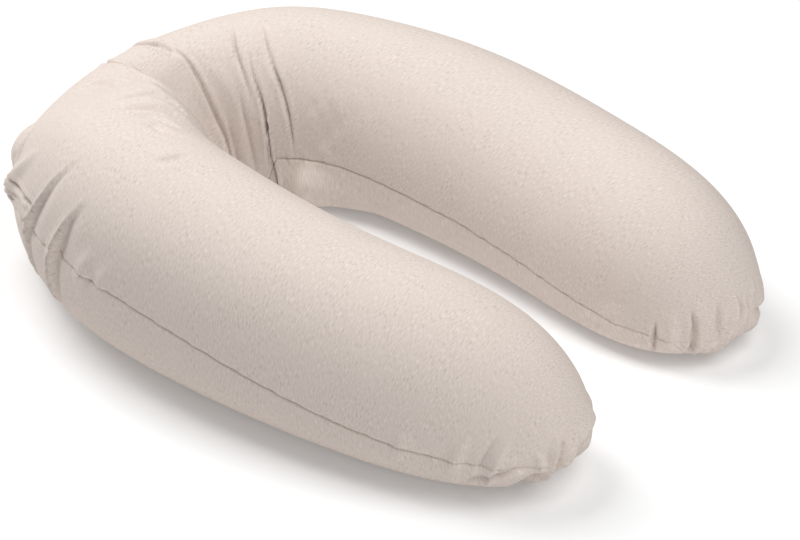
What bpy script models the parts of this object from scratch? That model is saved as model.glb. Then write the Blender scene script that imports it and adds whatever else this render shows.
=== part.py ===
"""A body pillow: one long filled tube of melange cotton jersey, bent into a U and lying on a surface.

Metres and degrees, +Z up.  The two legs run towards -Y, the bend is at +Y, and the leg at -X is
the one that lies nearer to a viewer at the front left.  The origin is on the surface under the
middle of the outline.

A point of the cover is named by two numbers.  `along` is the distance along the middle of the
tube from the middle of the bend, below zero in the leg at -X.  `around` is the angle round the
tube: 0 at the outer seam, 90 at the crown, 180 at the inner seam and -90 or 270 underneath.
"""

import bmesh
import bpy
import numpy as np

NAME = "body_pillow"

# --- Driving sizes ----------------------------------------------------------------------------

HALF_LENGTH = 0.752        # along the middle of the tube, from the middle of the bend to a tip
TIP_LENGTH = 0.223         # over which each leg rounds off to its tip
TIP_BLUNTNESS_SIDE = 3.45  # 2 would round the tip like a ball, more leaves it blunter
TIP_BLUNTNESS_TOP = 2.65
TIP_BLUNTNESS_UNDER = 4.7
CROWN_FULLNESS = 2.2       # 2 would be an ellipse, more is a fuller shoulder
UNDER_FULLNESS_OUTER = 2.6
UNDER_FULLNESS_INNER = 4.0
SETTLING = 1.06            # the underside would hang this much deeper if no surface carried it

SEAM_WIDTH = 0.0030        # half the width of the dent along the turned seam
SEAM_DEPTH = 0.0026

# One row for each cross-section.  The heading is 0 where the tube runs across at the middle of
# the bend and 90 where a leg runs straight towards -Y.  The outer and inner half-widths are
# measured from the middle of the tube to its two seams, which lie at seam_height.
SECTION_COLUMNS = ("along", "heading", "outer", "inner", "height", "seam_height")
SECTIONS = (
    (-0.752, -112.0, 0.089, 0.087, 0.162, 0.042),
    (-0.564, -98.0, 0.088, 0.094, 0.177, 0.063),
    (-0.376, -85.5, 0.089, 0.092, 0.205, 0.100),
    (-0.256, -72.0, 0.086, 0.098, 0.209, 0.105),
    (-0.166, -54.0, 0.076, 0.097, 0.186, 0.084),
    (-0.083, -31.0, 0.070, 0.098, 0.145, 0.053),
    (0.000, 0.0, 0.069, 0.100, 0.136, 0.040),
    (0.083, 35.0, 0.079, 0.088, 0.146, 0.043),
    (0.166, 66.0, 0.089, 0.089, 0.166, 0.048),
    (0.256, 82.5, 0.090, 0.088, 0.174, 0.059),
    (0.376, 92.5, 0.094, 0.093, 0.174, 0.061),
    (0.564, 104.0, 0.093, 0.094, 0.161, 0.050),
    (0.752, 103.0, 0.100, 0.096, 0.165, 0.031),
)

# Creases of the cover, which run round the inside of the bend, where the cloth is too long.
PLEAT_COLUMNS = ("along", "around", "end_along", "end_around", "width", "depth")
PLEATS = (
    (0.145, 112, 0.212, 230, 0.0070, 0.0110),
    (0.126, 98, 0.166, 152, 0.0060, 0.0045),
    (0.160, 98, 0.236, 184, 0.0060, 0.0060),
    (0.034, 58, 0.104, 174, 0.0065, 0.0065),
    (-0.045, 95, -0.022, 215, 0.0070, 0.0060),
    (0.236, 172, 0.246, 232, 0.0065, 0.0040),
)

# The leg at -X is stuffed harder than the bend, so it swells towards the inside and ends in a
# full roll that hangs over the bend.  Beyond its edge the cover drops into a hollow.
ROLL_EDGE_COLUMNS = ("around", "along", "share")
ROLL_EDGE = (
    (70, 0.000, 0.00),
    (80, -0.004, 0.15),
    (92, -0.012, 0.45),
    (105, -0.016, 0.80),
    (118, -0.014, 1.00),
    (133, -0.009, 1.00),
    (150, 0.000, 1.00),
    (164, 0.014, 0.60),
    (178, 0.030, 0.00),
)
ROLL_HEIGHT = 0.017
ROLL_PROFILE_COLUMNS = ("offset", "height")     # metres past the edge, shares of the roll's height
ROLL_PROFILE = (
    (-0.240, 0.00),
    (-0.200, 0.20),
    (-0.160, 1.00),
    (-0.120, 1.55),
    (-0.075, 1.60),
    (-0.030, 1.22),
    (-0.008, 1.00),
    (0.000, 0.60),
    (0.008, -0.60),
    (0.015, -1.00),
    (0.025, -0.80),
    (0.045, -0.35),
    (0.070, 0.00),
)

# Raised folds of slack cloth with a hollow at one side, round the outside of the bend.  The
# hollow lies towards the tip of the leg at -X where valley is -1, and the other way where it is 1.
RIDGE_COLUMNS = ("along", "around", "end_along", "end_around", "width", "height", "valley")
RIDGES = (
    (-0.250, 62, -0.192, -40, 0.0130, 0.0070, -1),
    (-0.290, 42, -0.238, -42, 0.0130, 0.0070, -1),
    (-0.108, 66, -0.134, 14, 0.0170, 0.0050, -1),
    (-0.124, 24, -0.150, -24, 0.0150, 0.0080, -1),
    (-0.050, 40, -0.060, -34, 0.0150, 0.0050, 1),
    (0.040, 34, 0.046, -34, 0.0150, 0.0045, 1),
    (0.128, 36, 0.120, -34, 0.0150, 0.0055, 1),
)

# Short puckers where the seam is eased round a tip.  side is -1 for the leg at -X.  rim is the
# distance along the seam from the nose of the tip, above zero on the leg's outer side, and low
# and high are how far the pucker reaches below and above the seam.
PUCKER_COLUMNS = ("side", "rim", "high_rim", "low", "high", "width", "height")
PUCKERS = (
    (-1, 0.194, 0.190, 0.012, 0.020, 0.0060, 0.0022),
    (-1, 0.152, 0.144, 0.022, 0.026, 0.0060, 0.0030),
    (-1, 0.118, 0.103, 0.024, 0.034, 0.0070, 0.0045),
    (-1, 0.090, 0.084, 0.026, 0.022, 0.0080, 0.0032),
    (-1, 0.072, 0.070, 0.034, 0.016, 0.0080, -0.0050),
    (-1, 0.050, 0.048, 0.020, 0.024, 0.0060, 0.0030),
    (-1, 0.032, 0.022, 0.020, 0.028, 0.0060, 0.0030),
    (-1, -0.006, -0.006, 0.022, 0.030, 0.0060, -0.0035),
    (-1, -0.040, -0.036, 0.024, 0.030, 0.0070, 0.0030),
    (-1, -0.085, -0.078, 0.024, 0.030, 0.0070, 0.0035),
    (-1, -0.130, -0.126, 0.018, 0.024, 0.0070, 0.0030),
    (1, 0.120, 0.124, 0.020, 0.026, 0.0070, 0.0030),
    (1, 0.088, 0.088, 0.022, 0.030, 0.0070, 0.0035),
    (1, 0.062, 0.066, 0.024, 0.030, 0.0090, 0.0045),
    (1, 0.044, 0.042, 0.022, 0.026, 0.0060, -0.0040),
    (1, 0.024, 0.026, 0.022, 0.026, 0.0080, 0.0045),
    (1, 0.010, 0.012, 0.020, 0.024, 0.0060, -0.0040),
    (1, -0.010, 0.004, 0.024, 0.036, 0.0070, 0.0045),
    (1, -0.046, -0.048, 0.026, 0.034, 0.0060, -0.0050),
    (1, -0.064, -0.063, 0.020, 0.030, 0.0070, 0.0030),
    (1, -0.083, -0.085, 0.022, 0.024, 0.0060, -0.0040),
    (1, -0.130, -0.128, 0.018, 0.022, 0.0070, 0.0025),
)
TIP_RADIUS = 0.090         # of the round that a tip's seam follows, seen from above

# Distance between cross-sections of the solid, measured along the edge of the outline.
ROW_SPACING_COLUMNS = ("along", "spacing")
ROW_SPACING = (
    (-0.752, 0.0085),
    (-0.640, 0.0120),
    (-0.520, 0.0300),
    (-0.330, 0.0300),
    (-0.290, 0.0080),
    (-0.100, 0.0080),
    (0.250, 0.0080),
    (0.290, 0.0300),
    (0.540, 0.0300),
    (0.660, 0.0110),
    (0.752, 0.0085),
)
LINE_STEPS = 3009          # steps in the running sums along the middle line
EDGE_STEPS = 60001         # steps along the outline's edge when the cross-sections are placed
EVEN_COLUMNS = 40          # points round each cross-section, before those beside the seams
SEAM_COLUMNS = (-5.0, -1.9, 1.9, 5.0)

JERSEY_COLOUR = (0.76, 0.66, 0.60, 1.0)
JERSEY_ROUGHNESS = 0.95


# --- Reading the tables -----------------------------------------------------------------------

def column(table, names, name):
    """One named column of a table, as an array."""
    return np.array([row[names.index(name)] for row in table], dtype=float)


def smooth_curve(knots, values, at):
    """A natural cubic spline through the knots, read at the given places.

    The bend at each knot comes from the usual three-term balance, and is nothing at both ends.
    """
    gap = np.diff(knots)
    slope = np.diff(values) / gap
    count = len(knots)
    balance = np.eye(count)
    right = np.zeros(count)
    inner = np.arange(1, count - 1)
    balance[inner, inner - 1] = gap[:-1]
    balance[inner, inner] = 2.0 * (gap[:-1] + gap[1:])
    balance[inner, inner + 1] = gap[1:]
    right[inner] = 6.0 * np.diff(slope)
    bend = np.linalg.solve(balance, right)
    k = np.clip(np.searchsorted(knots, at) - 1, 0, count - 2)
    before = (at - knots[k]) / gap[k]
    after = 1.0 - before
    arch = ((after**3 - after) * bend[k] + (before**3 - before) * bend[k + 1]) * gap[k] ** 2 / 6.0
    return after * values[k] + before * values[k + 1] + arch


def section_value(name, along):
    """A column of the cross-section table, read smoothly at any place along the tube."""
    knots = column(SECTIONS, SECTION_COLUMNS, "along")
    values = column(SECTIONS, SECTION_COLUMNS, name)
    return smooth_curve(knots, values, along)


# --- The smooth filled form -------------------------------------------------------------------

def middle_line(along):
    """Plan position and heading, in radians, of the middle of the tube at each place."""
    fine = np.linspace(-HALF_LENGTH, HALF_LENGTH, LINE_STEPS)
    heading = np.radians(section_value("heading", fine))
    step = fine[1] - fine[0]
    x = np.cumsum(np.cos(heading)) * step
    y = -np.cumsum(np.sin(heading)) * step
    x -= np.interp(0.0, fine, x)
    y -= np.interp(0.0, fine, y)
    return np.interp(along, fine, x), np.interp(along, fine, y), np.interp(along, fine, heading)


def tip_rounding(along, bluntness):
    """1 along a leg and 0 at its tip, falling as the square root of 1 - part ** bluntness."""
    part = np.clip((np.abs(along) - (HALF_LENGTH - TIP_LENGTH)) / TIP_LENGTH, 0.0, 1.0)
    return np.sqrt(1.0 - part**bluntness)


def filled_form(along, around):
    """Points of the smooth cover on a grid of places along and angles around the tube.

    Each cross-section is four quarter rounds that meet at the crown, the underside and the two
    seams.  On each, the square of the share of its half-width and a power, the fullness, of the
    share of its rise add up to 1.
    """
    x, y, heading = middle_line(along)
    side = tip_rounding(along, TIP_BLUNTNESS_SIDE)
    outer = section_value("outer", along) * side
    inner = section_value("inner", along) * side
    seam = section_value("seam_height", along)
    crown = (section_value("height", along) - seam) * tip_rounding(along, TIP_BLUNTNESS_TOP)
    under = seam * tip_rounding(along, TIP_BLUNTNESS_UNDER) * SETTLING

    across = np.cos(np.radians(around))[None, :]
    rise = np.sin(np.radians(around))[None, :]
    under_fullness = np.where(across > 0.0, UNDER_FULLNESS_OUTER, UNDER_FULLNESS_INNER)
    fullness = np.where(rise > 0.0, CROWN_FULLNESS, under_fullness)
    reach = np.sqrt(np.maximum(1.0 - np.abs(rise) ** fullness, 0.0)) * np.sign(across)
    width = np.where(across > 0.0, outer[:, None], inner[:, None]) * reach
    height = seam[:, None] + np.where(rise > 0.0, crown[:, None], under[:, None]) * rise
    grid = np.empty(width.shape + (3,))
    grid[..., 0] = x[:, None] + np.sin(heading)[:, None] * width
    grid[..., 1] = y[:, None] + np.cos(heading)[:, None] * width
    grid[..., 2] = height
    return grid


def grid_directions(grid, along, around):
    """Stretch per metre along, girth per degree around, and the outward normals of the grid."""
    down = np.gradient(grid, along, axis=0)
    turn = np.diff(np.concatenate([around, around[:1] + 360.0]))
    after = (np.roll(grid, -1, axis=1) - grid) / turn[None, :, None]
    before = np.roll(after, 1, axis=1)
    over = 0.5 * (after + before)
    normal = np.cross(over, down)
    normal /= np.linalg.norm(normal, axis=2, keepdims=True) + 1e-12
    return np.linalg.norm(down, axis=2), np.linalg.norm(over, axis=2), normal


# --- Folds, puckers and the seam --------------------------------------------------------------

def ease(value):
    """A smooth step from 0 at 0 to 1 at 1."""
    value = np.clip(value, 0.0, 1.0)
    return value * value * (3.0 - 2.0 * value)


def taper(part, share=0.3):
    """1 along the middle of a fold, fading to nothing over the given share at each end."""
    return ease(part / share) * ease((1.0 - part) / share)


def distance_from_fold(row, names, along, around, stretch, girth):
    """Distance on the cover from a fold's line, and the part of the line that a point is at.

    The line is straight on the unrolled cover.  Its slope turns the distance measured along the
    tube into the distance square to the line.
    """
    start, turn, end, end_turn = (row[names.index(name)] for name in names[:4])
    part = (around[None, :] - turn) / (end_turn - turn)
    offset = (along[:, None] - (start + (end - start) * part)) * stretch
    slope = (end - start) / (end_turn - turn) * stretch / np.maximum(girth, 1e-6)
    return offset / np.sqrt(1.0 + slope**2), part


SWELLING_PLACE = 2.2       # of the low swellings beside a crease, in widths from its middle
SWELLING_SHARE = 0.3       # of the crease's depth
VALLEY_PLACE = 1.6         # of the hollow beside a raised fold, in widths from its middle
VALLEY_WIDTH = 0.9         # of the fold's width
VALLEY_SHARE = 0.65        # of the fold's height
TIP_START = 0.45           # along a leg, where the puckers of its tip begin to count
TIP_FADE = 0.08


def pleat_relief(along, around, stretch, girth):
    """Creases: a bell-shaped dip, with a low swelling at each side of it."""
    relief = np.zeros(stretch.shape)
    for row in PLEATS:
        width, depth = row[4:]
        offset, part = distance_from_fold(row, PLEAT_COLUMNS, along, around, stretch, girth)
        dip = np.exp(-((offset / width) ** 2))
        swelling = np.exp(-(((np.abs(offset) - SWELLING_PLACE * width) / width) ** 2))
        relief += depth * (SWELLING_SHARE * swelling - dip) * taper(part)
    return relief


def roll_relief(along, around, stretch):
    """Height of the roll: the profile read at the distance past its edge, times the edge's share."""
    knots = column(ROLL_EDGE, ROLL_EDGE_COLUMNS, "around")
    edge = np.interp(around, knots, column(ROLL_EDGE, ROLL_EDGE_COLUMNS, "along"))
    share = np.interp(around, knots, column(ROLL_EDGE, ROLL_EDGE_COLUMNS, "share"))
    offset = (along[:, None] - edge[None, :]) * stretch
    profile = np.interp(offset, column(ROLL_PROFILE, ROLL_PROFILE_COLUMNS, "offset"),
                        column(ROLL_PROFILE, ROLL_PROFILE_COLUMNS, "height"))
    return ROLL_HEIGHT * share[None, :] * profile


def ridge_relief(along, around, stretch, girth):
    """Raised folds: a bell across the line, with a shallower hollow at one side of it."""
    relief = np.zeros(stretch.shape)
    for row in RIDGES:
        width, height, valley = row[4:]
        offset, part = distance_from_fold(row, RIDGE_COLUMNS, along, around, stretch, girth)
        bell = np.exp(-((offset / width) ** 2))
        hollow = np.exp(-(((offset - valley * VALLEY_PLACE * width) / (VALLEY_WIDTH * width)) ** 2))
        relief += height * (bell - VALLEY_SHARE * hollow) * taper(part)
    return relief


def rim_distance(grid, side):
    """Distance round a tip from its nose, for each point, above zero on the leg's outer side.

    Ahead of the centre of the tip's round it is an angle times the radius, and behind the
    centre it runs straight back along the leg.
    """
    x, y, heading = middle_line(np.array([side * (HALF_LENGTH - TIP_RADIUS)]))
    ahead = np.array([np.cos(heading[0]), -np.sin(heading[0])]) * side
    outward = np.array([np.sin(heading[0]), np.cos(heading[0])])
    reach = grid[..., :2] - np.array([x[0], y[0]])
    forward = reach @ ahead
    sideways = reach @ outward
    bent = TIP_RADIUS * np.arctan2(np.abs(sideways), np.maximum(forward, 1e-6))
    straight = TIP_RADIUS * np.pi / 2.0 - forward
    return np.sign(sideways) * np.where(forward > 0.0, bent, straight)


def pucker_relief(grid, along):
    """Short folds across the seam at the tips, fading above and below the seam."""
    relief = np.zeros(grid.shape[:2])
    above_seam = grid[..., 2] - section_value("seam_height", along)[:, None]
    for side in (-1, 1):
        rim = rim_distance(grid, side)
        on_tip = ease((side * along[:, None] - TIP_START) / TIP_FADE)
        for row in PUCKERS:
            row_side, low_rim, high_rim, low, high, width, height = row
            if row_side != side:
                continue
            lean = np.clip((above_seam + low) / (low + high), 0.0, 1.0)
            offset = (rim - (low_rim + (high_rim - low_rim) * lean)) / width
            reach = np.where(above_seam > 0.0, above_seam / high, above_seam / low)
            relief += height * np.exp(-(offset**2)) * np.exp(-(reach**2)) * on_tip
    return relief


def seam_relief(around, girth):
    """The dent along the plain turned seam that joins the upper and lower panels."""
    turn = np.radians(around)
    from_seam = np.degrees(np.arcsin(np.abs(np.sin(turn))))[None, :] * girth
    return -SEAM_DEPTH * np.exp(-((from_seam / SEAM_WIDTH) ** 2))


def cover_points(along, around):
    """The filled form with its folds, puckers and seam, pressed flat on the surface."""
    grid = filled_form(along, around)
    stretch, girth, normal = grid_directions(grid, along, around)
    relief = roll_relief(along, around, stretch)
    relief += pleat_relief(along, around, stretch, girth)
    relief += ridge_relief(along, around, stretch, girth)
    relief += pucker_relief(grid, along)
    relief += seam_relief(around, girth) * tip_rounding(along, 2.0)[:, None]
    grid = grid + normal * relief[..., None]
    grid[..., 2] = np.maximum(grid[..., 2], 0.0)
    return grid


# --- Building the solid -----------------------------------------------------------------------

def row_places():
    """Places of the cross-sections, spaced by the table along the outline's outer edge."""
    fine = np.linspace(-HALF_LENGTH, HALF_LENGTH, EDGE_STEPS)
    half_width = section_value("outer", fine) * tip_rounding(fine, TIP_BLUNTNESS_SIDE)
    edge = np.hypot(np.diff(fine), np.diff(half_width))
    knots = column(ROW_SPACING, ROW_SPACING_COLUMNS, "along")
    spacing = np.interp(fine, knots, column(ROW_SPACING, ROW_SPACING_COLUMNS, "spacing"))
    count = np.concatenate([[0.0], np.cumsum(edge / spacing[1:])])
    steps = int(round(count[-1]))
    return np.interp(np.linspace(0.0, count[-1], steps + 1)[1:-1], count, fine)


def column_angles():
    """Angles of the points round a cross-section: even ones, and a few beside each seam."""
    even = np.arange(EVEN_COLUMNS) * 360.0 / EVEN_COLUMNS - 90.0
    beside = [seam + offset for seam in (0.0, 180.0) for offset in SEAM_COLUMNS]
    return np.sort(np.concatenate([even, beside]))


def tip_point(side):
    """The nose of a tip, where all the columns meet."""
    x, y, _ = middle_line(np.array([side * HALF_LENGTH]))
    seam = section_value("seam_height", np.array([side * HALF_LENGTH]))
    return np.array([x[0], y[0], seam[0]])


def loft(name, grid, noses):
    """A closed mesh of quads over a grid that wraps round, with a fan of triangles at each end."""
    rows, columns = grid.shape[:2]
    mesh = bmesh.new()
    points = [mesh.verts.new(point) for point in grid.reshape(-1, 3)]
    first, last = (mesh.verts.new(nose) for nose in noses)
    for c in range(columns):
        after = (c + 1) % columns
        for r in range(rows - 1):
            low = r * columns
            high = low + columns
            mesh.faces.new((points[low + c], points[low + after], points[high + after], points[high + c]))
        top = (rows - 1) * columns
        mesh.faces.new((first, points[after], points[c]))
        mesh.faces.new((last, points[top + c], points[top + after]))
    bmesh.ops.recalc_face_normals(mesh, faces=mesh.faces)
    data = bpy.data.meshes.new(name)
    mesh.to_mesh(data)
    mesh.free()
    return data


def jersey():
    """Oatmeal melange cotton jersey: matt, with no sheen of its own."""
    material = bpy.data.materials.new("melange_cotton_jersey")
    material.use_nodes = True
    shader = material.node_tree.nodes["Principled BSDF"]
    shader.inputs["Base Color"].default_value = JERSEY_COLOUR
    shader.inputs["Roughness"].default_value = JERSEY_ROUGHNESS
    shader.inputs["Metallic"].default_value = 0.0
    return material


def body_pillow(collection):
    """The filled cover as one solid, moved so that the origin is under its middle."""
    grid = cover_points(row_places(), column_angles())
    noses = np.array([tip_point(-1), tip_point(1)])
    middle = 0.5 * (grid.min(axis=(0, 1)) + grid.max(axis=(0, 1)))
    shift = np.array([middle[0], middle[1], 0.0])
    pillow = bpy.data.objects.new("pillow", loft("pillow", grid - shift, noses - shift))
    pillow.data.materials.append(jersey())
    pillow.data.shade_smooth()
    collection.objects.link(pillow)
    return pillow


for old in list(bpy.data.objects):
    bpy.data.objects.remove(old, do_unlink=True)
parts = bpy.data.collections.new(NAME)
bpy.context.scene.collection.children.link(parts)
body_pillow(parts)
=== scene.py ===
"""A U-shaped body pillow of melange cotton jersey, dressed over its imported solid.

Metres and degrees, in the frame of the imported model.  A point of the cover is named by two
numbers: `along`, the distance along the middle of the tube from the middle of the bend, below
zero in the near leg, and `around`, the angle round the tube: 0 at the outer seam, 90 at the
crown, 180 at the inner seam and -90 or 270 underneath.
"""

import bpy
import numpy as np
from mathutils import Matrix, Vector


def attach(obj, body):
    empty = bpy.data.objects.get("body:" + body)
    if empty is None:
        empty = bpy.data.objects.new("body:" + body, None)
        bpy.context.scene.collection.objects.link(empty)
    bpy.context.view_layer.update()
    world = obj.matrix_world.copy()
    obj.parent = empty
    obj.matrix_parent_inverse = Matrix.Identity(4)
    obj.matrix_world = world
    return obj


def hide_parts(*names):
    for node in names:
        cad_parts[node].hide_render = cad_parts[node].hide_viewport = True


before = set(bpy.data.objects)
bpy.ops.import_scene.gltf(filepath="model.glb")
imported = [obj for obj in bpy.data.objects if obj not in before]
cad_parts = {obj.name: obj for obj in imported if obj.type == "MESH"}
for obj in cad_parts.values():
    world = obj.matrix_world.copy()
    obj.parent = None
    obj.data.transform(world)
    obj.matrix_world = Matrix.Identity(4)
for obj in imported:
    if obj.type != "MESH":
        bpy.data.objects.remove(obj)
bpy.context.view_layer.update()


# --- The filled form --------------------------------------------------------------------------
# A real one is two long U-shaped panels of jersey sewn together all round and stuffed until the
# cover is tight.  This is the smooth tube that the filling gives, before any folds: the same
# cross-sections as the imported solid, read on a much finer grid.

HALF_LENGTH = 0.752
TIP_LENGTH = 0.223
TIP_BLUNTNESS_SIDE = 3.45
TIP_BLUNTNESS_TOP = 2.65
TIP_BLUNTNESS_UNDER = 4.7
CROWN_FULLNESS = 2.2
UNDER_FULLNESS_OUTER = 2.6
UNDER_FULLNESS_INNER = 4.0
SETTLING = 1.06
SOLID_MIDDLE = np.array([-0.02111, -0.29983, 0.0])   # of the solid's outline, from the bend
LINE_STEPS = 3009           # places on which the middle line's running sums are made
TINY = 1e-12                # keeps a division by nothing from failing

SECTION_COLUMNS = ("along", "heading", "outer", "inner", "height", "seam_height")
SECTIONS = (
    (-0.752, -112.0, 0.089, 0.087, 0.162, 0.042),
    (-0.564, -98.0, 0.088, 0.094, 0.177, 0.063),
    (-0.376, -85.5, 0.089, 0.092, 0.205, 0.100),
    (-0.256, -72.0, 0.086, 0.098, 0.209, 0.105),
    (-0.166, -54.0, 0.076, 0.097, 0.186, 0.084),
    (-0.083, -31.0, 0.070, 0.098, 0.145, 0.053),
    (0.000, 0.0, 0.069, 0.100, 0.136, 0.040),
    (0.083, 35.0, 0.079, 0.088, 0.146, 0.043),
    (0.166, 66.0, 0.089, 0.089, 0.166, 0.048),
    (0.256, 82.5, 0.090, 0.088, 0.174, 0.059),
    (0.376, 92.5, 0.094, 0.093, 0.174, 0.061),
    (0.564, 104.0, 0.093, 0.094, 0.161, 0.050),
    (0.752, 103.0, 0.100, 0.096, 0.165, 0.031),
)


def column(table, names, name):
    """One named column of a table, as an array."""
    return np.array([row[names.index(name)] for row in table], dtype=float)


def rows_of(table, names):
    """The rows of a table, each as a dictionary by the names of its columns."""
    return [dict(zip(names, row)) for row in table]


def smooth_curve(knots, values, at):
    """A natural cubic spline through the knots, read at the given places.

    The bend at each knot comes from the usual three-term balance, and is nothing at both ends.
    """
    gap = np.diff(knots)
    slope = np.diff(values) / gap
    count = len(knots)
    balance = np.eye(count)
    right = np.zeros(count)
    inner = np.arange(1, count - 1)
    balance[inner, inner - 1] = gap[:-1]
    balance[inner, inner] = 2.0 * (gap[:-1] + gap[1:])
    balance[inner, inner + 1] = gap[1:]
    right[inner] = 6.0 * np.diff(slope)
    bend = np.linalg.solve(balance, right)
    k = np.clip(np.searchsorted(knots, at) - 1, 0, count - 2)
    before = (at - knots[k]) / gap[k]
    after = 1.0 - before
    arch = ((after**3 - after) * bend[k] + (before**3 - before) * bend[k + 1]) * gap[k] ** 2 / 6.0
    return after * values[k] + before * values[k + 1] + arch


def section_value(name, along):
    """A column of the cross-section table, read smoothly at any place along the tube."""
    knots = column(SECTIONS, SECTION_COLUMNS, "along")
    return smooth_curve(knots, column(SECTIONS, SECTION_COLUMNS, name), along)


def middle_line(along, far_turning=1.0):
    """Plan position and heading of the middle of the tube: running sums of the heading's cosine
    and sine.  far_turning below 1 opens the far half of the bend."""
    fine = np.linspace(-HALF_LENGTH, HALF_LENGTH, LINE_STEPS)
    heading = np.radians(section_value("heading", fine))
    heading = np.where(heading > 0.0, heading * far_turning, heading)
    step = fine[1] - fine[0]
    x = np.cumsum(np.cos(heading)) * step
    y = -np.cumsum(np.sin(heading)) * step
    x -= np.interp(0.0, fine, x)
    y -= np.interp(0.0, fine, y)
    return np.interp(along, fine, x), np.interp(along, fine, y), np.interp(along, fine, heading)


def tip_rounding(along, bluntness):
    """1 along a leg and 0 at its tip, falling as the square root of 1 - part ** bluntness."""
    part = np.clip((np.abs(along) - (HALF_LENGTH - TIP_LENGTH)) / TIP_LENGTH, 0.0, 1.0)
    return np.sqrt(1.0 - part**bluntness)


def filled_form(along, around):
    """Points of the smooth cover on a grid of places along and angles around the tube.

    Each cross-section is four quarter rounds that meet at the crown, the underside and the two
    seams.  On each, the square of the share of its half-width and a power, the fullness, of the
    share of its rise add up to 1.
    """
    x, y, heading = middle_line(along)
    side = tip_rounding(along, TIP_BLUNTNESS_SIDE)
    outer = section_value("outer", along) * side
    inner = section_value("inner", along) * side
    seam = section_value("seam_height", along)
    crown = (section_value("height", along) - seam) * tip_rounding(along, TIP_BLUNTNESS_TOP)
    under = seam * tip_rounding(along, TIP_BLUNTNESS_UNDER) * SETTLING
    across = np.cos(np.radians(around))
    rise = np.sin(np.radians(around))
    under_fullness = np.where(across > 0.0, UNDER_FULLNESS_OUTER, UNDER_FULLNESS_INNER)
    fullness = np.where(rise > 0.0, CROWN_FULLNESS, under_fullness)
    reach = np.sqrt(np.maximum(1.0 - np.abs(rise) ** fullness, 0.0)) * np.sign(across)
    width = np.where(across > 0.0, outer[:, None], inner[:, None]) * reach
    grid = np.empty(width.shape + (3,))
    grid[..., 0] = x[:, None] + np.sin(heading)[:, None] * width
    grid[..., 1] = y[:, None] + np.cos(heading)[:, None] * width
    grid[..., 2] = seam[:, None] + np.where(rise > 0.0, crown[:, None], under[:, None]) * rise
    return grid - SOLID_MIDDLE


def grid_directions(grid, along, around):
    """Stretch per metre along, girth per degree around, and the outward normals of the grid."""
    down = np.gradient(grid, along, axis=0)
    turn = np.diff(np.concatenate([around, around[:, :1] + 360.0], axis=1))
    after = (np.roll(grid, -1, axis=1) - grid) / turn[..., None]
    over = 0.5 * (after + np.roll(after, 1, axis=1))
    normal = np.cross(over, down)
    normal /= np.linalg.norm(normal, axis=2, keepdims=True) + TINY
    return np.linalg.norm(down, axis=2), np.linalg.norm(over, axis=2), normal


# Rows of points across the tube, closest where the cover is creased, and columns along it,
# closest beside the two seams and widest underneath, where the pillow lies on its own weight.
ROW_SPACING_COLUMNS = ("along", "spacing")
ROW_SPACING = (
    (-0.752, 0.0017),
    (-0.640, 0.0019),
    (-0.600, 0.0070),
    (-0.370, 0.0070),
    (-0.340, 0.0035),
    (-0.300, 0.0020),
    (-0.180, 0.0020),
    (-0.120, 0.0030),
    (-0.060, 0.0030),
    (-0.020, 0.0014),
    (0.230, 0.0014),
    (0.250, 0.0022),
    (0.300, 0.0070),
    (0.600, 0.0070),
    (0.640, 0.0019),
    (0.752, 0.0017),
)
COLUMN_SPACING_COLUMNS = ("around", "spacing")
COLUMN_SPACING = (
    (-90.0, 7.0),
    (-60.0, 5.0),
    (-35.0, 2.4),
    (-5.0, 2.1),
    (0.0, 0.35),
    (4.0, 1.4),
    (22.0, 1.4),
    (32.0, 2.4),
    (90.0, 2.4),
    (175.0, 2.1),
    (180.0, 0.35),
    (185.0, 2.1),
    (212.0, 2.2),
    (240.0, 5.0),
    (270.0, 7.0),
)
# Inside the bend the inner seam is turned under, by this many degrees, between these places.
SEAM_TURN = 30.0
SEAM_TURN_START = (-0.100, 0.020)
SEAM_TURN_END = (0.188, 0.206)
SEAM_TURN_REACH = 60.0      # degrees beside the seam over which the columns are moved with it
INNER_SEAM = 180.0
QUARTERS = ((-90.0, 0.0), (0.0, 90.0), (90.0, 180.0), (180.0, 270.0))
EDGE_STEPS = 60001          # places on which the spacing of the rows is added up
QUARTER_STEPS = 4001        # and angles on which that of a quarter's columns is


def spaced_places(edge, places, spacing):
    """Places whose distances, measured along the given edge, follow the spacing at each: the edge
    over the spacing is added up, and cut where the sum passes a whole number."""
    count = np.concatenate([[0.0], np.cumsum(edge / (0.5 * (spacing[1:] + spacing[:-1])))])
    steps = int(round(count[-1]))
    return np.interp(np.linspace(0.0, count[-1], steps + 1), count, places)


def row_places():
    """Places of the rows, spaced along the outline's outer edge, without the two noses."""
    fine = np.linspace(-HALF_LENGTH, HALF_LENGTH, EDGE_STEPS)
    half_width = section_value("outer", fine) * tip_rounding(fine, TIP_BLUNTNESS_SIDE)
    edge = np.hypot(np.diff(fine), np.diff(half_width))
    knots = column(ROW_SPACING, ROW_SPACING_COLUMNS, "along")
    spacing = np.interp(fine, knots, column(ROW_SPACING, ROW_SPACING_COLUMNS, "spacing"))
    return spaced_places(edge, fine, spacing)[1:-1]


def ease(value):
    """A smooth step from 0 at 0 to 1 at 1: the square, times 3 less twice the value."""
    value = np.clip(value, 0.0, 1.0)
    return value * value * (3.0 - 2.0 * value)


def even_angles():
    """Angles of the columns, with one exactly on each seam."""
    knots = column(COLUMN_SPACING, COLUMN_SPACING_COLUMNS, "around")
    values = column(COLUMN_SPACING, COLUMN_SPACING_COLUMNS, "spacing")
    quarters = []
    for low, high in QUARTERS:
        fine = np.linspace(low, high, QUARTER_STEPS)
        quarters.append(spaced_places(np.diff(fine), fine, np.interp(fine, knots, values))[:-1])
    return np.concatenate(quarters)


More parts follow.
